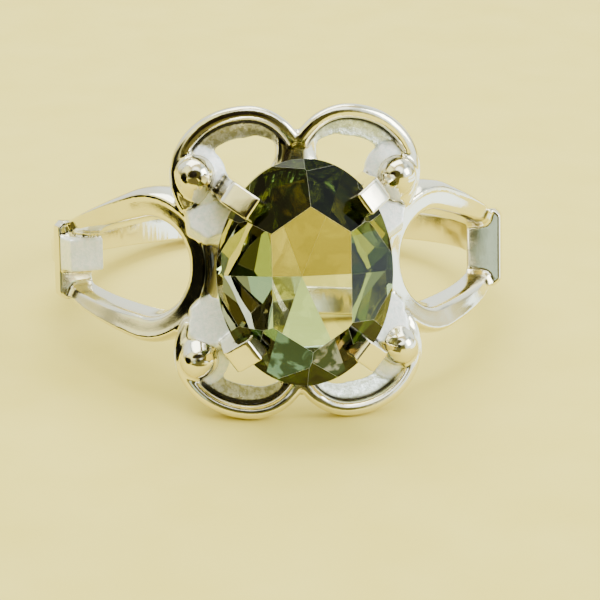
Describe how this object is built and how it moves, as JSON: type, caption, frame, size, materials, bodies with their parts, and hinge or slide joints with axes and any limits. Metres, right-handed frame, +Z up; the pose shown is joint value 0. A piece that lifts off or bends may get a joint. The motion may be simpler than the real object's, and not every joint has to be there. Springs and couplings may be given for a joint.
{
  "type": "gemstone ring",
  "caption": "Openwork finger ring with drop-shaped shoulders, a scrolled frame with corner balls, and an oval faceted stone held by claws.",
  "frame": {"origin": "on the surface that the ring lies on, under the middle of its length and width", "axes": "+Z up; -Y towards the stone, which faces forward and a little up; +X to the right seen from the stone's side; the finger hole's axis leans back from +Z by the resting tilt"},
  "size_m": [0.0198, 0.024, 0.0124],
  "materials": {
    "silver": "polished silver, softly worn",
    "stone": "cut and polished, clear with a faint smoky green tint"
  },
  "bodies": {
    "root": {"silver_mount": "silver", "stone": "stone"}
  },
  "joints": []
}
